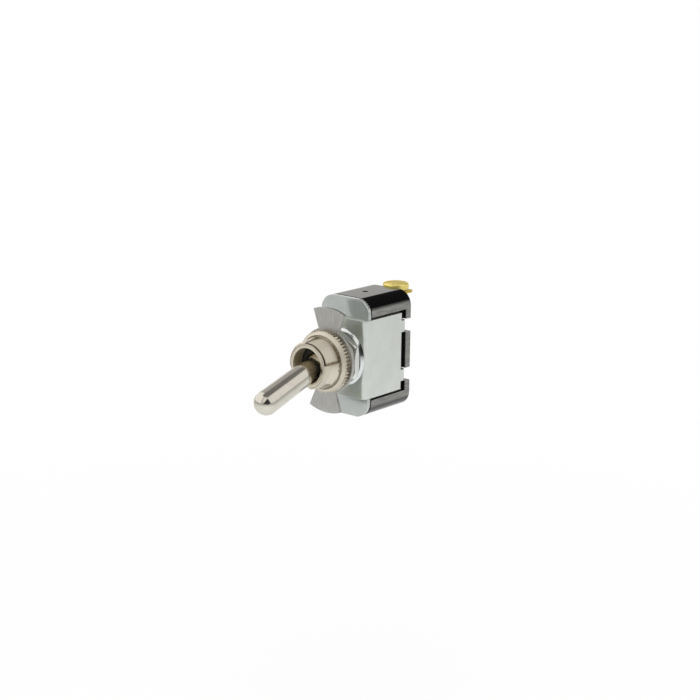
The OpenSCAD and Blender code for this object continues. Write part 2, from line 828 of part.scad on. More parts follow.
// Centre terminal: a round-ended tab outside, and two ears that carry the arm
module centre_terminal() {
    color([0.83, 0.7, 0.3]) stand() difference() {
        union() {
            slab(cavity_floor, yoke_front) square([2 * ear_outer, 2 * ear_half_h], center = true);
            for (side = [-1, 1])
                translate([side * (ear_half_gap + ear_t / 2), 0, 0]) ear();
            translate([-strip_w / 2, -strip_t / 2, screw_z])
                cube([strip_w, strip_t, yoke_front - screw_z]);
            translate([0, -strip_t / 2, screw_z]) rotate([-90, 0, 0])
                cylinder(h = strip_t, d = strip_w);
        }
        screw_hole(-strip_t / 2);
    }
}

module ear() {
    difference() {
        translate([-ear_t / 2, -ear_half_h, cavity_floor])
            cube([ear_t, 2 * ear_half_h, rocker_z + ear_half_h - cavity_floor]);
        translate([0, 0, rocker_z]) rotate([0, 90, 0])
            cylinder(h = ear_t + past, r = trunnion_d / 2 + run_clear, center = true);
    }
}

module screw_hole(y) {
    translate([0, y - past, screw_z]) rotate([-90, 0, 0])
        cylinder(h = strip_t + 2 * past, r = screw_d / 2 + run_clear);
}

// Terminal screw with a slotted, slightly domed head
module terminal_screw(seat_y) {
    dome_r = (pow(head_d / 2, 2) + pow(head_dome, 2)) / (2 * head_dome);
    top = head_h + head_dome;
    translate([0, seat_y + screw_lift, screw_z]) rotate([-90, 0, 0]) difference() {
        union() {
            bar(screw_d / 2, -screw_l, eps);
            intersection() {
                bar(head_d / 2, 0, top);
                translate([0, 0, top - dome_r]) sphere(dome_r);
            }
        }
        rotate(slot_turn) translate([0, 0, top])
            cube([head_d + past, slot_w, 2 * slot_depth], center = true);
    }
}

module upper_screw() {
    color([0.88, 0.76, 0.35]) stand() terminal_screw(upper_y + strip_t);
}

module centre_screw() {
    color([0.88, 0.76, 0.35]) stand() terminal_screw(strip_t / 2);
}

base();
insulating_liner();
cover_plate();
bracket();
stem();
lock_washer();
back_nut();
indicator_plate();
face_nut();
lever();
pivot_pin();
dust_seal();
plunger();
plunger_spring();
contact_arm();
moving_contact();
fixed_contact();
upper_terminal();
centre_terminal();
upper_screw();
centre_screw();
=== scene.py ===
# %% [markdown]
# # A heavy panel toggle switch, dressed for the camera
# The switch arrives as a fixed frame of named solids, in metres. The lever points to -Y
# and +Z is up. The origin lies on the stem's axis, where the rear of the panel would rest.
# This lesson gives every piece its finish, softens the stamped and moulded pieces, and
# models afresh the few that need a finer form than their solids have.

import json
from math import cos, pi, radians, sin

import bpy
from mathutils import Matrix, Vector


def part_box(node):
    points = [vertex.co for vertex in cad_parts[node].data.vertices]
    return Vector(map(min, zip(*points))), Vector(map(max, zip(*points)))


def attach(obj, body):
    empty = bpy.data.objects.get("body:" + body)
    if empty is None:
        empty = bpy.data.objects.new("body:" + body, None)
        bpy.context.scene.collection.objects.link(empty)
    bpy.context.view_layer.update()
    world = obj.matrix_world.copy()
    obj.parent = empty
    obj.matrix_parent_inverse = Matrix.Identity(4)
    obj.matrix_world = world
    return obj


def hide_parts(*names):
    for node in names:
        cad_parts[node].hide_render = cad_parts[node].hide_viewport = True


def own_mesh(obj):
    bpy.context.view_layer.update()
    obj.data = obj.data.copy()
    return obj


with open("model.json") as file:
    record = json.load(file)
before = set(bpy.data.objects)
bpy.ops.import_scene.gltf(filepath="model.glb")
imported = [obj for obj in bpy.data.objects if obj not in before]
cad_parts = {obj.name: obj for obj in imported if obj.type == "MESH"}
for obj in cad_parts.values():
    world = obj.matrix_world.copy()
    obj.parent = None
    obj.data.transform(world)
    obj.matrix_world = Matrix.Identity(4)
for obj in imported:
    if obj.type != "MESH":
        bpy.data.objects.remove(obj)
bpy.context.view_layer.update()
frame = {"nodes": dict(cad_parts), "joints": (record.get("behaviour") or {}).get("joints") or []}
scene = bpy.context.scene
MM = 0.001

# %% [markdown]
# ## The camera
# A small product is looked at from a little above and to one side, through a longish lens,
# so that its straight edges stay nearly parallel. Azimuth and elevation place the camera on
# a sphere round a point on the stem's axis. A small roll and shift finish the framing.

# %% Camera
AZIMUTH, ELEVATION, ROLL = radians(40.075), radians(14.136), radians(0.563)
AIM, DISTANCE = Vector((0, 4.1, 0)) * MM, 414 * MM

towards = Vector((sin(AZIMUTH) * cos(ELEVATION), -cos(AZIMUTH) * cos(ELEVATION), sin(ELEVATION)))
level = Vector((0, 0, 1)).cross(towards).normalized()
upright = towards.cross(level)
right = cos(ROLL) * level + sin(ROLL) * upright
up = towards.cross(right)

camera_data = bpy.data.cameras.new("camera")
camera_data.sensor_width = 36
camera_data.lens = 77.9
camera_data.shift_x = 0.00796
camera_data.shift_y = 0.00809
camera_data.clip_start = 0.01
camera = bpy.data.objects.new("camera", camera_data)
scene.collection.objects.link(camera)
turned_to_aim = Matrix((right, up, towards)).transposed().to_4x4()
camera.matrix_world = Matrix.Translation(AIM + DISTANCE * towards) @ turned_to_aim
scene.camera = camera
print("camera at", [round(v, 3) for v in camera.matrix_world.translation])

# %% [markdown]
# ## Arithmetic with shader sockets
# A finish is often a sum: a colour plus a little grain, less where it is worn. The class
# Value wraps a socket so that such a sum can be written as one, and each operator adds its
# Math node. The class Nodes wraps a node tree and adds every other kind of node.


# %% Sockets as numbers
class Value:
    def __init__(self, nodes, socket):
        self.nodes, self.socket = nodes, socket

    def maths(self, operation, *others):
        """A Math node with this value in its first socket."""
        return self.nodes.maths(operation, self, *others)

    def least(self, other):
        return self.maths("MINIMUM", other)

    def most(self, other):
        return self.maths("MAXIMUM", other)

    def __add__(self, other):
        return self.maths("ADD", other)

    def __sub__(self, other):
        return self.maths("SUBTRACT", other)

    def __rsub__(self, other):
        return self.nodes.maths("SUBTRACT", other, self)

    def __mul__(self, other):
        return self.maths("MULTIPLY", other)

    def __truediv__(self, other):
        return self.maths("DIVIDE", other)

    def __pow__(self, other):
        return self.maths("POWER", other)

    __radd__, __rmul__ = __add__, __mul__

    def step(self, low, high):
        """0 below low, 1 above high, and a soft slope between them."""
        return self.nodes.add(
            "ShaderNodeMapRange", {"interpolation_type": "SMOOTHSTEP"},
            {"Value": self, "From Min": low, "From Max": high})

    def between(self, low, high, soft):
        """1 from low to high and 0 outside, with soft edges."""
        return self.step(low - soft, low + soft) * (1 - self.step(high - soft, high + soft))

    def painted(self, mask, other):
        """This value where the mask is 0, and the other one where it is 1."""
        return self + mask * (other - self)


# %% A tree of nodes
class Nodes:
    def __init__(self, tree):
        self.tree = tree

    def add(self, kind, settings=None, inputs=None, output=0):
        """Any node, from its type, its settings, and the values or links of its sockets."""
        node = self.tree.nodes.new(kind)
        for name, setting in (settings or {}).items():
            setattr(node, name, setting)
        for name, value in (inputs or {}).items():
            if isinstance(value, Value):
                self.tree.links.new(value.socket, node.inputs[name])
            else:
                node.inputs[name].default_value = value
        return Value(self, node.outputs[output]) if node.outputs else None

    def maths(self, operation, *numbers):
        return self.add("ShaderNodeMath", {"operation": operation}, dict(enumerate(numbers)))

    def parts(self, vector):
        """The three numbers of a vector."""
        return [self.add("ShaderNodeSeparateXYZ", inputs={0: vector}, output=o) for o in "XYZ"]

    def mix(self, first, second, mask):
        """The colour first where the mask is 0, and the colour second where it is 1."""
        factor, colour_a, colour_b, colour_out = 0, 6, 7, 2
        first, second = [c if isinstance(c, Value) else (*c, 1) for c in (first, second)]
        return self.add("ShaderNodeMix", {"data_type": "RGBA"},
                        {factor: mask, colour_a: first, colour_b: second}, colour_out)


# %% [markdown]
# ## A studio for bright metal
# Bright metal looks like metal only when it has something to reflect. This studio is a
# white paper sweep with large soft boxes and pale cards round it, and the room above them
# is dark. The sweep ends low behind the switch, so a steep reflection finds the dark above
# it: that draws the black band along the base's corner and the dark stripe along the lever.
# Directions are given as a turn in degrees, 0 straight behind and 90 to the right, and a
# lift above the horizon. The camera itself sees plain white.

# %% Sky
scene.view_settings.view_transform = "Standard"
world = bpy.data.worlds.new("studio")
scene.world = world
world.use_nodes = True
world.node_tree.nodes.clear()
sky = Nodes(world.node_tree)

x, y, z = sky.parts(sky.add("ShaderNodeTexCoord", output="Generated"))
turn = x.maths("ARCTAN2", y) * (180 / pi)
lift = z.maths("ARCSINE") * (180 / pi)

# %% [markdown]
# Each box or card is a patch of the sky, from one turn to another and from one lift to
# another, with the softness of its edges. Two of them have a slanting lower edge: that of
# the high box behind bounds the dark stripe along the lever, and that of the front box
# leaves a wedge of dark, which shows as the black spot on the lever's round tip. Later
# ones are painted over earlier ones.

# %% Boxes and cards
ceiling = lift.step(57, 66) * 0.17 + 0.03
sweep = turn.between(-100, 42, 2) * lift.between(-5, 19, 1.5)
card_low_right = turn.between(41, 100, 2) * lift.between(-5, 8, 2)
slant = (66 - turn).least(43)
box_high = turn.between(-40, 60, 3) * (1 - lift.step(56, 64)) * (lift - slant).step(-2, 3)
box_right = turn.between(43, 90, 1.5) * lift.between(8, 64, 1.5)
card_left = turn.between(-62, -42, 2) * lift.between(17, 60, 3)
box_left = turn.between(-178, -64, 3) * lift.between(3.5, 66, 1)
gap = ((turn - 90) / 28).least((173 - turn) / 55) * 61
box_front = turn.between(90, 176, 1) * (lift - gap).step(-2, 2) * (1 - lift.step(64, 68))

light = ceiling
for patch, brightness in ((sweep, 0.95), (card_low_right, 0.5), (box_high, 0.9),
                          (box_right, 0.95), (card_left, 0.5), (box_left, 1.1),
                          (box_front, 0.95)):
    light = light.painted(patch, brightness)

# %% Light and background
WARM_WHITE = (1, 0.975, 0.94)
glow = sky.add("ShaderNodeVectorMath", {"operation": "SCALE"}, {0: WARM_WHITE, "Scale": light})
lit = sky.add("ShaderNodeBackground", inputs={"Color": glow})
seen = sky.add("ShaderNodeBackground", inputs={"Color": (1, 1, 1, 1)})
camera_ray = sky.add("ShaderNodeLightPath", output="Is Camera Ray")
either = sky.add("ShaderNodeMixShader", inputs={0: camera_ray, 1: lit, 2: seen})
sky.add("ShaderNodeOutputWorld", inputs={"Surface": either})
print("studio nodes:", len(world.node_tree.nodes))

# %% [markdown]
# The soft boxes alone would leave plastic and paper too dim. One more lamp overhead lifts
# them to a plain level. It is hidden from glossy rays, so no metal shows it.

# %% Fill lamp
lamp = bpy.data.lights.new("fill", "AREA")
lamp.shape = "DISK"
lamp.size = 0.5
lamp.energy = 4.3
fill = bpy.data.objects.new("fill", lamp)
scene.collection.objects.link(fill)
fill.location = (0.15, -0.2, 0.75)
fill.rotation_euler = fill.location.to_track_quat("Z", "Y").to_euler()
fill.visible_glossy = False
print("fill lamp", round(fill.location.length, 2), "m away")

# %% [markdown]
# ## How a finish is built
# Every finish starts from the Principled shader with one colour, one roughness and one
# metallic value. Patterns are read in Object coordinates, in metres, so they keep their
# real scale: a cloud in the plating is some millimetres wide, a grain of the moulding a
# tenth of one. Most pieces are turned or stamped round the stem, so a finish also knows how
# far from the stem's axis a point lies, and at what angle. Noise averages a half, so where
# it wanders about a roughness, half of its share is taken off again. Relief goes through a
# Bump node, whose distance is its real height.


# %% A finish
class Finish(Nodes):
    def __init__(self, name, colour, roughness, metallic=0.0):
        self.material = bpy.data.materials.new(name)
        self.material.use_nodes = True
        super().__init__(self.material.node_tree)
        self.skin = self.tree.nodes["Principled BSDF"]
        self.skin.inputs["Base Color"].default_value = (*colour, 1)
        self.skin.inputs["Roughness"].default_value = roughness
        self.skin.inputs["Metallic"].default_value = metallic
        self.name, self.colour = name, colour
        self.place = self.add("ShaderNodeTexCoord", output="Object")
        self.across, self.along, self.upward = self.parts(self.place)

    def feed(self, name, value):
        """Lets a value drive a socket of the Principled shader."""
        self.tree.links.new(value.socket, self.skin.inputs[name])

    def reach(self):
        """How far a point lies from the stem's axis, in metres."""
        return (self.across * self.across + self.upward * self.upward) ** 0.5

    def angle(self):
        """How far round the stem a point lies, in radians: 0 is up, and +X is positive."""
        return self.across.maths("ARCTAN2", self.upward)

    def noise(self, size_mm, detail=2.0, stretch=(1, 1, 1)):
        """Noise from 0 to 1 with blots about size_mm across, drawn out along an axis."""
        scaled = self.add("ShaderNodeMapping", inputs={
            "Vector": self.place, "Scale": [1 / (size_mm * MM * s) for s in stretch]})
        return self.add("ShaderNodeTexNoise", inputs={
            "Vector": scaled, "Scale": 1.0, "Detail": detail, "Roughness": 0.55}, output="Fac")

    def shade(self, mask, amount):
        """Darkens the colour by up to amount where the mask is high."""
        darker = [c * (1 - amount) for c in self.colour]
        self.feed("Base Color", self.mix(self.colour, darker, mask))

    def relief(self, value, height_mm):
        """Raises the surface by up to height_mm where the value is high."""
        self.feed("Normal", self.add("ShaderNodeBump", inputs={
            "Height": value, "Distance": height_mm * MM, "Strength": 1.0}))


def dress(name, finish):
    """Gives a solid of the frame its finish in every material slot."""
    for slot in frame["nodes"][name].material_slots:
        slot.material = finish.material
    print(name, "is", finish.name)


# %% [markdown]
# ## Bright zinc
# The bracket, the cover plate, the nut and the washer are steel under a thin bright zinc
# plate. It is a soft mirror. The sheet shows faint rolling lines along its grain, slow
# clouds where the plating is a shade duller, and a greenish tint where it was passivated.
# The bracket's legs face outwards, where handling has rubbed most of that tint off.


# %% Zinc
LEG_FROM, LEG_TO = 7.3 * MM, 7.9 * MM


def zinc(name, colour, roughness, stretch, metallic=1.0, passivated=0.2):
    """A zinc plate whose rolling lines are drawn out by stretch."""
    finish = Finish(name, colour, roughness, metallic)
    clouds = finish.noise(5, 3)
    lines = finish.noise(0.3, 2, stretch)
    specks = finish.noise(0.5, 4)
    leg = finish.across.maths("ABSOLUTE").step(LEG_FROM, LEG_TO)
    passivate = finish.noise(2.5, 1).step(0.35, 0.65) * (1 - leg * 0.9) * passivated
    green = [colour[0] * 0.87, colour[1] * 0.92, colour[2] * 0.75]
    tint = finish.mix(colour, green, passivate)
    duller = (clouds * 0.6 + lines * 0.2 + specks * 0.2).step(0.15, 0.85)
    finish.feed("Base Color", finish.mix(tint, [c * 0.86 for c in colour], duller))
    finish.feed("Roughness", clouds * 0.14 + lines * 0.08 + (roughness - 0.11))
    finish.relief(lines + clouds * 5, 0.004)
    return finish


zinc_sheet = zinc("zinc_sheet", (0.78, 0.81, 0.79), 0.33, (1, 14, 1), 0.85, 1.0)
zinc_plate = zinc("zinc_plate", (0.585, 0.62, 0.615), 0.17, (14, 1, 1), 0.65)
zinc_nut = zinc("zinc_nut", (0.80, 0.81, 0.79), 0.17, (1, 8, 1))
zinc_washer = zinc("zinc_washer", (0.78, 0.80, 0.82), 0.17, (1, 1, 1))
print("four zinc finishes,", len(zinc_sheet.tree.nodes), "nodes each")

# %% [markdown]
# ## Nickel
# The lever, the stem and the face nut are brass under nickel, which is a warm grey. Turning
# leaves very fine rings round the axis, so this noise is squeezed along Y and drawn out
# across it. What the polishing mop can't reach stays matt: the stem's mouth, and the nut's
# recesses and the bevel of its flange. In the mouth a lighter tan is painted in as the light its
# walls reflect.


# %% Nickel
def nickel(name, colour, roughness, bore=0, band=None, matt=0.6, painted_reflection=None):
    """Matt within the bore, and over a band of the axis, both in mm."""
    finish = Finish(name, colour, roughness, 1.0)
    unpolished = 1 - finish.reach().step((bore - 0.2) * MM, (bore + 0.01) * MM)
    if band:
        unpolished = finish.along.between(band[0] * MM, band[1] * MM, 0.2 * MM).most(unpolished)
    rings = finish.noise(1.0, 1, (40, 0.1, 40))
    haze = finish.noise(3, 3)
    hazy = finish.mix(colour, [c * 0.9 for c in colour], (haze * 0.6 + rings * 0.4).step(0.35, 0.8))
    # where unpolished, a painted reflection colour takes the place of the nickel, if one is given
    finish.feed("Base Color", finish.mix(hazy, painted_reflection or colour, unpolished))
    finish.feed("Roughness", haze * 0.08 + rings * 0.05 + unpolished * 0.3 + (roughness - 0.06))
    finish.feed("Metallic", 1 - unpolished * matt)
    finish.relief(rings, 0.0012)
    return finish


NUT_COLOUR = (0.68, 0.63, 0.54)
nickel_nut = nickel("nickel_nut", NUT_COLOUR, 0.2, bore=6.7, band=(-5.9, -4.9), matt=0.35)
# painted reflection: a lighter tan inside the stem's mouth
nickel_stem = nickel("nickel_stem", (0.66, 0.605, 0.51), 0.22, bore=5, painted_reflection=(0.8, 0.66, 0.42))
nickel_lever = nickel("nickel_lever", (0.69, 0.665, 0.60), 0.16)
print("three nickel finishes,", len(nickel_lever.tree.nodes), "nodes in the lever's")

# %% [markdown]
# Painted shade: a brown is painted into the corners of the nut, where less light reaches. It lies
# along the foot of the collar, on both end walls of the recess at its upper right, and between the
# knurls.

# %% Painted shade on the face nut
# the brown below is painted shade, not a stain on the nickel
PAINTED_SHADE_BROWN, RECESS_FLOOR_R, COLLAR_R = (0.22, 0.17, 0.1), 6.2 * MM, 7.1 * MM
RECESS_TOP, RECESS_END = 81.8, -7.6
_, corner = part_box("face_nut")
KNURL_R, NUT_REAR, COLLAR_FOOT = corner.x, corner.y, corner.y - 2.6 * MM

around, reach, along = nickel_nut.angle() * (180 / pi), nickel_nut.reach(), nickel_nut.along
slope = along.step(COLLAR_FOOT - 1.9 * MM, COLLAR_FOOT + 0.2 * MM) * around.between(35, 90, 25)
foot = slope * 0.5 + along.step(COLLAR_FOOT - 0.3 * MM, COLLAR_FOOT) * 0.5
top_wall = around.between(RECESS_TOP - 6.3, RECESS_TOP, 2.5)
end_wall = around.between(RECESS_END, RECESS_END + 3.6, 1.5) * 0.7
hollow = (reach.step(RECESS_FLOOR_R - 0.1 * MM, RECESS_FLOOR_R)
          * (1 - reach.step(COLLAR_R, COLLAR_R + 0.15 * MM)))
blots = nickel_nut.noise(0.7, 2).step(0.2, 0.6) * 0.6 + 0.4
knurls = (along.between(NUT_REAR - 1.6 * MM, NUT_REAR + 0.3 * MM, 0.1 * MM)
          * reach.step(KNURL_R - 0.7 * MM, KNURL_R - 0.6 * MM)
          * (1 - reach.step(KNURL_R - 0.3 * MM, KNURL_R - 0.1 * MM)))
# painted shade: brown along the collar's foot, on the recess walls and in the knurl valleys
painted_shade = (foot.most(top_wall).most(end_wall) * blots * hollow).most(knurls * 0.65)
nickel_nut.feed("Base Color", nickel_nut.mix(NUT_COLOUR, PAINTED_SHADE_BROWN, painted_shade))
print("face nut:", len(nickel_nut.tree.nodes), "nodes")

# %% [markdown]
# ## Satin aluminium
# The indicator plate is stamped from sheet that was brushed first, so its wings are silky
# and bare. The streaks run outwards. They are read in polar terms, where the angle counts
# for a lot and the distance from the stem hardly at all.

# %% Satin aluminium
AROUND, OUTWARDS = 36, 300
satin = Finish("satin_aluminium", (0.53, 0.525, 0.51), 0.36, 1.0)
polar = satin.add("ShaderNodeCombineXYZ", inputs={
    0: satin.angle() * AROUND, 1: satin.reach() * OUTWARDS})
streaks = satin.add("ShaderNodeTexNoise", inputs={
    "Vector": polar, "Scale": 1.0, "Detail": 4.0, "Roughness": 0.7}, output="Fac")
satin.shade(streaks.step(0.35, 0.7), 0.28)
satin.feed("Roughness", streaks * 0.2 + 0.32)
satin.relief(streaks, 0.006)
print("satin aluminium:", len(satin.tree.nodes), "nodes")

# %% [markdown]
# ## Black moulding
# The base is a hard, glossy black moulding. It is black where the room is dark and grey
# where white paper glances off it. On its two sides a mask on the distance from the middle
# paints grey: partly a painted sheen of that paper, partly fine scuff streaks.

# %% Black moulding
# the second colour is the grey of a painted sheen and scuffs on the sides
BLACK, SHEEN_AND_SCUFF_GREY = (0.003, 0.003, 0.0035), (0.30, 0.30, 0.29)
moulding = Finish("moulding", BLACK, 0.1)
moulding.skin.inputs["IOR"].default_value = 1.5
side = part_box("base")[1].x
flank = moulding.across.maths("ABSOLUTE").step(side - 0.35 * MM, side - 0.05 * MM)
waves = moulding.noise(4, 2)
dust = moulding.noise(0.4, 3)
streak = moulding.noise(0.35, 3, (1, 12, 1)).step(0.25, 0.75)
# painted sheen on both sides, broken into fine scuff streaks
moulding.feed("Base Color", moulding.mix(BLACK, SHEEN_AND_SCUFF_GREY, flank * (streak * 0.5 + 0.5)))
moulding.feed("Roughness", waves * 0.03 + dust * 0.03 + flank * 0.25 + 0.04)
moulding.relief(waves + dust * 0.02, 0.01)
print("moulding:", len(moulding.tree.nodes), "nodes")

# %% [markdown]
# ## Brass, bronze and silver
# Both terminals and their screws are bare brass. The strip keeps its rolling lines, and
# brass browns a little in scattered blots. The springy arm inside is phosphor bronze with
# silver contacts. Pin and spring are plain steel.


# %% Brass and contacts
def brass(name, colour, roughness, stretch, metallic=1.0):
    finish = Finish(name, colour, roughness, metallic)
    stain = finish.noise(2.2, 3)
    lines = finish.noise(0.3, 2, stretch)
    brown = (colour[0] * 0.75, colour[1] * 0.64, colour[2] * 0.5)
    finish.feed("Base Color", finish.mix(colour, brown, (stain * 0.7 + lines * 0.3).step(0.45, 0.8)))
    finish.feed("Roughness", stain * 0.16 + lines * 0.1 + (roughness - 0.13))
    finish.relief(lines, 0.004)
    return finish


brass_strip = brass("brass_strip", (0.68, 0.50, 0.08), 0.33, (1, 12, 1))
brass_screw = brass("brass_screw", (0.93, 0.78, 0.25), 0.35, (1, 1, 0.4), 0.7)
copper_arm = brass("copper_arm", (0.72, 0.42, 0.24), 0.32, (1, 1, 12))
silver = nickel("silver", (0.86, 0.86, 0.84), 0.3)
steel_pin = nickel("steel_pin", (0.56, 0.56, 0.55), 0.3)
spring_steel = nickel("spring_steel", (0.52, 0.52, 0.53), 0.25)
dress("contact_arm", copper_arm)
dress("moving_contact", silver)
dress("fixed_contact", silver)
dress("pivot_pin", steel_pin)

# %% [markdown]
# ## Rubber, fibre and nylon
# The ring that keeps dust out of the mouth is black rubber, the sheet under the cover plate
# is pressed fibre, and the plunger is nylon. All three are dull and differ in colour and
# grain, so one function makes them. The solids' own form is fine enough for these.


# %% Rubber, fibre and nylon
def dull(name, colour, roughness, grain_mm, depth_mm):
    finish = Finish(name, colour, roughness)
    grain = finish.noise(grain_mm, 4)
    finish.shade(grain.step(0.3, 0.8), 0.35)
    finish.feed("Roughness", grain * 0.2 + (roughness - 0.1))
    finish.relief(grain, depth_mm)
    return finish


dress("dust_seal", dull("rubber_seal", (0.012, 0.012, 0.012), 0.55, 0.25, 0.02))
dress("insulating_liner", dull("fibre", (0.07, 0.05, 0.035), 0.75, 0.15, 0.03))
dress("plunger", dull("nylon", (0.62, 0.58, 0.46), 0.45, 0.8, 0.01))

# %% [markdown]
# ## Tools of the bench
# Meshes are shaped with the same operators as by hand, and those act on whatever is
# selected. These short functions select one piece and nothing else, open it for editing,
# apply a modifier at once, and settle a finished piece: it ends at the origin, unturned,
# in its real size and shaded smooth.


# %% Tools
WELD, FINE_WELD = 0.0005 * MM, 0.0002 * MM


def deselect():
    """Nothing stays selected, so that the next operator acts on its own piece alone."""
    if bpy.context.object and bpy.context.object.mode != "OBJECT":
        bpy.ops.object.mode_set(mode="OBJECT")
    bpy.ops.object.select_all(action="DESELECT")


def pick(piece):
    deselect()
    piece.select_set(True)
    bpy.context.view_layer.objects.active = piece


def edit(piece):
    """Opens a piece in edit mode with all its points selected."""
    pick(piece)
    bpy.ops.object.mode_set(mode="EDIT")
    bpy.ops.mesh.select_mode(type="VERT")
    bpy.ops.mesh.select_all(action="SELECT")


def apply(piece, kind, **settings):
    """Adds a modifier with these settings and applies it at once."""
    pick(piece)
    modifier = piece.modifiers.new(kind.lower(), kind)
    for name, setting in settings.items():
        setattr(modifier, name, setting)
    bpy.ops.object.modifier_apply(modifier=modifier.name)


def settle(piece, name, angle=30):
    """Place, turn and size go into the mesh, and the surface is shaded smooth."""
    pick(piece)
    piece.name = piece.data.name = name
    bpy.ops.object.transform_apply(location=True, rotation=True, scale=True)
    bpy.ops.object.shade_smooth_by_angle(angle=radians(angle))
    print(name, len(piece.data.polygons), "faces")
    return piece


# %% [markdown]
# ## The floor
# The floor lies well below, because a panel switch hangs in its panel and never stands. To
# the camera it is nearly as white as the room, and it keeps a trace of the shadow, which
# fades out with the distance.

# %% Floor
FLOOR_DROP, FLOOR_R = 0.12, 30
SHADOW_FROM, SHADOW_TO, WHITEST, SHADOW_SHARE = 0.08, 0.4, 1.0, 0.12
deselect()
bpy.ops.mesh.primitive_circle_add(
    vertices=72, radius=FLOOR_R, fill_type="NGON", location=(0, 0, -FLOOR_DROP))
floor = settle(bpy.context.object, "floor")

paper = Finish("paper", (0.85, 0.87, 0.87), 0.9)
distance = (paper.across * paper.across + paper.along * paper.along) ** 0.5
whiteness = distance.step(SHADOW_FROM, SHADOW_TO) * SHADOW_SHARE + (WHITEST - SHADOW_SHARE)
camera_ray = paper.add("ShaderNodeLightPath", output="Is Camera Ray")
white = paper.add("ShaderNodeEmission", inputs={"Strength": 1.0})
both = paper.add("ShaderNodeMixShader", inputs={
    0: camera_ray * whiteness, 1: Value(paper, paper.skin.outputs[0]), 2: white})
surface = paper.tree.nodes["Material Output"].inputs["Surface"]
paper.tree.links.new(both.socket, surface)
floor.data.materials.append(paper.material)

# %% [markdown]
# ## Softened edges
# A stamped or moulded edge is never quite sharp, and the thin bright line along it is what
# makes metal look real. Each outer piece is copied from its solid, its loose triangles are
# joined and its flat faces cleared, and a Bevel modifier rounds every edge that turns by
# more than a set angle. Weighted normals then keep the large faces flat in the light. The
# copy stands in for the solid.


# %% Soften
EDGE_SEGMENTS, EDGE_ANGLE = 3, 32


def soften(node, finish, width_mm, reshape=None):
    """Puts a copy with rounded edges in a solid's place, reshaped first if need be."""
    piece = bpy.data.objects.new(node + "_soft", frame["nodes"][node].data.copy())
    scene.collection.objects.link(piece)
    for vertex in piece.data.vertices if reshape else ():
        reshape(vertex.co)
    edit(piece)
    bpy.ops.mesh.remove_doubles(threshold=FINE_WELD)
    bpy.ops.mesh.dissolve_limited(angle_limit=radians(0.3))
    bpy.ops.object.mode_set(mode="OBJECT")
    apply(piece, "BEVEL", width=width_mm * MM, segments=EDGE_SEGMENTS, limit_method="ANGLE",
          angle_limit=radians(EDGE_ANGLE), use_clamp_overlap=True, miter_outer="MITER_ARC")
    settle(piece, node + "_soft", EDGE_ANGLE)
    apply(piece, "WEIGHTED_NORMAL", keep_sharp=True)
    piece.data.materials.clear()
    piece.data.materials.append(finish.material)
    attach(piece, "body")
    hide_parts(node)


# %% [markdown]
# Two pieces change a little before their edges are softened. The floor of each wrench
# recess rises towards the flange, because the milling cutter's path was tilted. The
# washer's bevel is wide, because it was coined in a die, and it starts at the nut.

# %% Changed shapes
RECESS_REAR_R, RECESS_MIDDLE = 6.5 * MM, -6 * MM
RIM_R, RIM_REAR, FACE_R, FACE_REAR = 8 * MM, 2.75 * MM, 7.5 * MM, 2.4 * MM
BEVEL_FRONT_R, BEVEL_FRONT, BEVEL_REAR = 7.4 * MM, 2.13 * MM, 2.77 * MM


def ramp(point):
    """Lifts the rear edge of each recess in the face nut's collar."""
    radius = (point.x ** 2 + point.z ** 2) ** 0.5
    if abs(radius - RECESS_FLOOR_R) < 0.03 * MM and point.y > RECESS_MIDDLE:
        point.x *= RECESS_REAR_R / RECESS_FLOOR_R
        point.z *= RECESS_REAR_R / RECESS_FLOOR_R


def widen(point):
    """Carries the washer's bevel from its rim to its rear face, and inwards to the back nut."""
    radius = (point.x ** 2 + point.z ** 2) ** 0.5
    if radius > RIM_R and point.y < RIM_REAR:
        point.y = BEVEL_REAR
    elif radius > FACE_R and point.y < FACE_REAR:
        point.x *= BEVEL_FRONT_R / radius
        point.z *= BEVEL_FRONT_R / radius
        point.y = BEVEL_FRONT


# %% Soften the outer pieces
soften("bracket", zinc_sheet, 0.22)
soften("cover_plate", zinc_plate, 0.25)
soften("base", moulding, 0.25)
soften("back_nut", zinc_nut, 0.12)
soften("lock_washer", zinc_washer, 0.05, widen)
soften("indicator_plate", satin, 0.12)
soften("face_nut", nickel_nut, 0.06, ramp)
soften("upper_terminal", brass_strip, 0.1)
soften("centre_terminal", brass_strip, 0.1)

# %% [markdown]
# ## Turned pieces
# A lathe makes the lever, the stem and the screws, so they are modelled as a lathe works.
# One point is extruded along the outline, step by step, and the outline is then spun round
# the axis.


# %% Lathe
ARC_STEPS, TURNED_ANGLE = 16, 28


def turn_on_lathe(name, outline, steps=96):
    """Spins an outline of (radius, distance behind the seat) points, in mm, round Y."""
    deselect()
    bpy.ops.mesh.primitive_plane_add(size=MM)
    piece = bpy.context.object
    edit(piece)
    bpy.ops.mesh.merge(type="CENTER")
    here = Vector((*outline[0], 0)) * MM
    bpy.ops.transform.translate(value=here)
    for point in outline[1:]:
        there = Vector((*point, 0)) * MM
        bpy.ops.mesh.extrude_region_move(TRANSFORM_OT_translate={"value": there - here})
        here = there
    bpy.ops.mesh.select_all(action="SELECT")
    bpy.ops.mesh.spin(steps=steps, angle=2 * pi, center=(0, 0, 0), axis=(0, 1, 0))
    bpy.ops.mesh.select_all(action="SELECT")
    bpy.ops.mesh.remove_doubles(threshold=WELD)
    bpy.ops.mesh.normals_make_consistent(inside=False)
    bpy.ops.object.mode_set(mode="OBJECT")
    return settle(piece, name, TURNED_ANGLE)


def arc(centre, radius, start, end):
    """Points on a circle round (0, centre), at angles that are 0 at its front."""
    angles = [radians(start + (end - start) * i / ARC_STEPS) for i in range(ARC_STEPS + 1)]
    return [(max(radius * sin(a), 0), centre - radius * cos(a)) for a in angles]


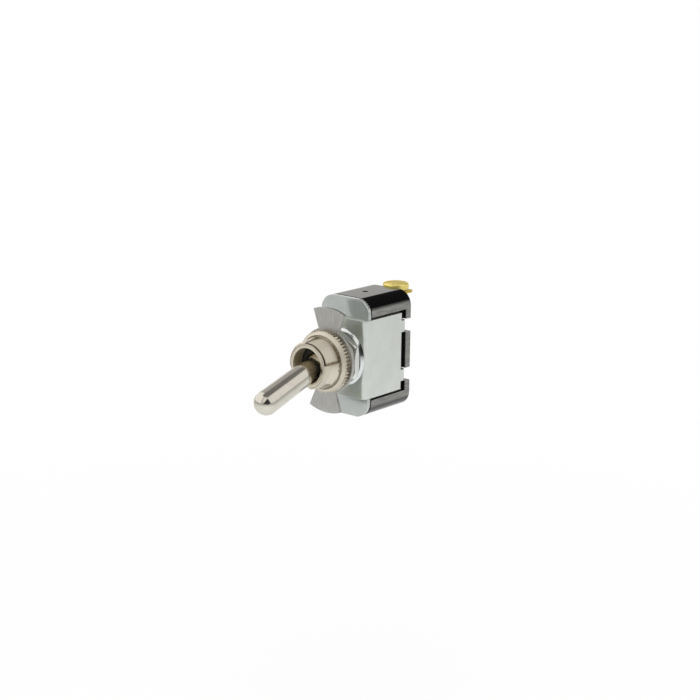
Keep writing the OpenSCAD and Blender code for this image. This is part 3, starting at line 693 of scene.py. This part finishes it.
# %% [markdown]
# ## Cutting threads
# A die cuts a thread as a helix. One ridge is drawn as a small triangle beside the axis,
# and a Screw modifier carries it round and along, once for each turn. Its two open ends
# are then closed. The ridge is sunk a little into its core, so that no gap shows.


# %% Thread
SUNK = 0.03


def ridge(core, crest, pitch, start):
    """The three corners of a thread's ridge, as (radius, distance behind the seat) in mm."""
    return [(core - SUNK, start), (crest, start + pitch / 2), (core - SUNK, start + pitch)]


def helix(name, corners, pitch, turns, steps=64):
    """Winds a small closed outline round Y, towards the rear."""
    deselect()
    bpy.ops.mesh.primitive_circle_add(vertices=len(corners), radius=MM, fill_type="NOTHING")
    coil = bpy.context.object
    for vertex, (radius, behind) in zip(coil.data.vertices, corners):
        vertex.co = Vector((radius, behind, 0)) * MM
    apply(coil, "SCREW", axis="Y", angle=2 * pi, screw_offset=pitch * MM, iterations=turns,
          steps=steps, render_steps=steps, use_merge_vertices=True, merge_threshold=WELD)
    edit(coil)
    bpy.ops.mesh.remove_doubles(threshold=WELD)
    bpy.ops.mesh.select_all(action="DESELECT")
    bpy.ops.mesh.select_non_manifold()
    bpy.ops.mesh.edge_face_add()
    bpy.ops.mesh.select_all(action="SELECT")
    bpy.ops.mesh.normals_make_consistent(inside=False)
    bpy.ops.object.mode_set(mode="OBJECT")
    return settle(coil, name, 20)


# %% [markdown]
# ## The lever
# Its bat is nearly parallel and ends in a round tip. Behind a soft shoulder it tapers to a
# stout neck, then comes the ball that a pin holds in the stem, and behind the ball a thin
# arm with the cup for the plunger. The outline is drawn round the pivot, and the lever
# then leans as it rests, by half of its throw.

# %% Lever
hinge = next(j for j in frame["joints"] if j["name"] == "lever_toggle")
PIVOT, LEAN = hinge["pos_m"][1] / MM, radians(hinge["range_deg"][1] / 2)
TIP_CENTRE, TIP_R, BALL_R, ARM_R, CUP_R, BORE_R = -21.95, 3.3, 3.2, 1.2, 2.2, 1.6
CUP_FRONT, CUP_FLOOR, CUP_REAR, CHAMFER = 13.6, 14.2, 18.6, 0.15

tip = arc(TIP_CENTRE, TIP_R, 0, 90)
bat = [(3.28, -20), (3.2, -14), (3.13, -8.5), (3.1, -7.6), (3.07, -7.1), (3.02, -6.6)]
neck = [(2.94, -5.9), (2.86, -5.2), (2.76, -4.4), (2.66, -3.6), (2.56, -2.9), (2.5, -2.4)]
ball = arc(0, BALL_R, 52, 156)
arm = [(ARM_R, 3.1), (ARM_R, CUP_FRONT)]
cup = [(CUP_R - CHAMFER, CUP_FRONT), (CUP_R, CUP_FRONT + CHAMFER), (CUP_R, CUP_REAR - CHAMFER),
       (CUP_R - CHAMFER, CUP_REAR), (BORE_R + 0.05, CUP_REAR), (BORE_R, CUP_REAR - 0.1),
       (BORE_R, CUP_FLOOR), (0, CUP_FLOOR)]


def lean(piece):
    """Turns a piece of the lever from the stem's axis to where the lever rests."""
    edit(piece)
    bpy.ops.transform.rotate(value=-LEAN, orient_axis="X", center_override=(0, PIVOT * MM, 0))
    bpy.ops.object.mode_set(mode="OBJECT")
    return piece


outline = [(radius, PIVOT + behind) for radius, behind in tip + bat + neck + ball + arm + cup]
lever = lean(turn_on_lathe("lever_turned", outline))
print("lowest point of the lever:", round(min(v.co.z for v in lever.data.vertices) / MM, 2), "mm")
lever.data.materials.append(nickel_lever.material)
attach(lever, "lever")
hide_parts("lever")

# %% [markdown]
# ## The plunger's spring
# A short spring of round wire sits in the lever's cup and pushes the plunger out. It is
# wound like a thread, with a small circle in place of the ridge. When the plunger is
# pushed in, the spring has to shorten towards the bottom of the cup.

# %% Spring
slide = next(j for j in frame["joints"] if j["name"] == "plunger_slide")
STROKE, SPRING_LENGTH, COILS = slide["range_m"][1] / MM, 2.4, 4
WIRE_R, COIL_R, CLEARANCE = 0.17, 1.28, 0.0085
first_turn = PIVOT + CUP_FLOOR + WIRE_R + CLEARANCE
wire = [(COIL_R + WIRE_R * cos(radians(a)), first_turn + WIRE_R * sin(radians(a)))
        for a in range(0, 360, 36)]
rise = (SPRING_LENGTH - 2 * (WIRE_R + CLEARANCE)) / COILS
spring = lean(helix("plunger_spring_wound", wire, rise, COILS, 32))
spring.data.materials.append(spring_steel.material)
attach(spring, "lever")
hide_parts("plunger_spring")
1 - STROKE / SPRING_LENGTH
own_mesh(spring)

# %% [markdown]
# ## The stem
# The stem is a turned tube with a wide mouth, a seat for the ball, a flared bore that gives
# the arm its throw, and a tail swaged into the cover plate. Its lip is rounded where a hand
# can touch it. The thread stands on a core that is turned down to the thread's root.

# %% Stem
THREAD_R, ROOT_R, PITCH, TURNS = 5.95, 5.6, 0.794, 18
MOUTH_R, MOUTH_FLOOR, SEAT_R, SEAT_REAR, FLARE_R = 4.9, -7.3, 3.3, -5.3, 5.12
LIP, TAIL, TAIL_R = -11.4, 5.2, 6.5
lip = [(MOUTH_R, LIP + 0.1), (MOUTH_R + 0.03, LIP + 0.03), (MOUTH_R + 0.1, LIP), (5.72, LIP),
       (5.82, LIP + 0.03), (5.9, LIP + 0.1), (5.93, LIP + 0.2), (THREAD_R, LIP + 0.35)]
core = [(ROOT_R, -10.8), (ROOT_R, 3.9), (THREAD_R, 4.1), (THREAD_R, 4.8), (TAIL_R, TAIL)]
bore = [(FLARE_R, TAIL), (SEAT_R, SEAT_REAR), (SEAT_R, MOUTH_FLOOR), (MOUTH_R, MOUTH_FLOOR)]
stem = turn_on_lathe("stem_turned", lip + core + bore + lip[:1])

thread = helix("stem_thread", ridge(ROOT_R, THREAD_R - 0.01, PITCH, -10.95), PITCH, TURNS)
for piece in (stem, thread):
    piece.data.materials.append(nickel_stem.material)
    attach(piece, "body")
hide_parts("stem")

# %% [markdown]
# ## The terminal screws
# Both screws are turned from brass bar. The head has a slightly domed top, a rounded edge
# and a sawn slot, and the shank carries a rolled thread with a chamfered end. One screw is
# turned round Y like the other pieces, stood upright with its top at the origin, and
# slotted. A copy of it then goes over each tab, where it has been tightened to an angle of
# its own.

# %% One screw
HEAD_R, HEAD_H, NECK_R, SHANK_R, CREST_R, SCREW_PITCH = 3.645, 2.05, 1.75, 1.42, 1.73, 0.6
low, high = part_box("upper_screw")
LENGTH = (high.z - low.z) / MM
dome = [(0, 0), (1.2, -0.05), (2.2, -0.17), (2.9, -0.3), (3.25, -0.4), (3.5, -0.54),
        (3.62, -0.72), (HEAD_R, -0.9)]
brim = [(HEAD_R, 0.15 - HEAD_H), (HEAD_R - 0.15, -HEAD_H), (NECK_R, -HEAD_H)]
shank = [(NECK_R, -HEAD_H - 0.3), (SHANK_R, -HEAD_H - 0.6), (SHANK_R, 0.4 - LENGTH),
         (SHANK_R - 0.35, -LENGTH), (0, -LENGTH)]
turned = turn_on_lathe("screw_turned", dome + brim + shank, 64)
rolled = helix("screw_thread", ridge(SHANK_R, CREST_R, SCREW_PITCH, 0.35 - LENGTH),
               SCREW_PITCH, int((LENGTH - HEAD_H - 1.2) / SCREW_PITCH), 48)
for piece in (turned, rolled):
    piece.rotation_euler.x = pi / 2
    settle(piece, piece.name, TURNED_ANGLE)
    piece.data.materials.append(brass_screw.material)

# %% Saw the slot
SLOT = Vector((9, 0.9, 1.6)) * MM
deselect()
bpy.ops.mesh.primitive_cube_add(size=1, scale=SLOT)
saw = bpy.context.object
apply(turned, "BOOLEAN", operation="DIFFERENCE", solver="EXACT", object=saw)
bpy.data.objects.remove(saw)

# %% Both screws
for node, tightened in (("upper_screw", 50), ("centre_screw", 15)):
    low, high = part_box(node)
    for model in (turned, rolled):
        pick(model)
        bpy.ops.object.duplicate(linked=False)
        piece = bpy.context.object
        piece.rotation_euler.z = radians(tightened)
        piece.location = ((low.x + high.x) / 2, (low.y + high.y) / 2, high.z)
        settle(piece, model.name.replace("screw", node), TURNED_ANGLE)
        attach(piece, "body")
    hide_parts(node)
for model in (turned, rolled):
    bpy.data.objects.remove(model)
